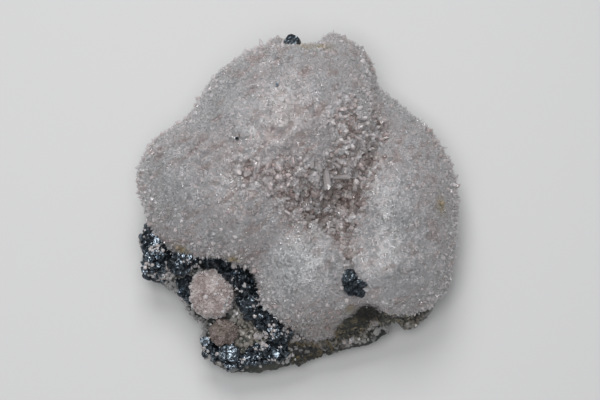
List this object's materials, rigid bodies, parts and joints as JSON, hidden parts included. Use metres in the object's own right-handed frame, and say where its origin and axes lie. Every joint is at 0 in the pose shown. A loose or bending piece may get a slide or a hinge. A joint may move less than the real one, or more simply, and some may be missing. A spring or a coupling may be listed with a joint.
{
  "type": "rhodochrosite mineral specimen",
  "caption": "Pale pink botryoidal rhodochrosite crust covered in fine quartz points, on vein rock with dark galena clusters.",
  "frame": {"origin": "middle of the bounding box, on the surface that the specimen lies on", "axes": "+Z out of the crust's face, +Y towards the crust's big upper dome, +X across it to the right"},
  "size_m": [0.0964, 0.1016, 0.0566],
  "materials": {
    "drusy_crust": "sparkling druse of small clear and milky points over pale pink",
    "pink_carbonate": "fine-grained, dull to waxy pale pink",
    "galena": "bright metallic blue-grey crystal faces",
    "vein_rock": "rough broken grey-green rock with ochre stains"
  },
  "bodies": {
    "root": {"rhodochrosite_crust": "drusy_crust", "pink_nodule": "pink_carbonate", "lower_pink_nodule": "pink_carbonate", "galena_left_edge": "galena", "galena_arc": "galena", "galena_foot": "galena", "galena_by_nodule": "galena", "galena_in_groove": "galena", "galena_at_top": "galena", "vein_rock": "vein_rock"}
  },
  "joints": []
}
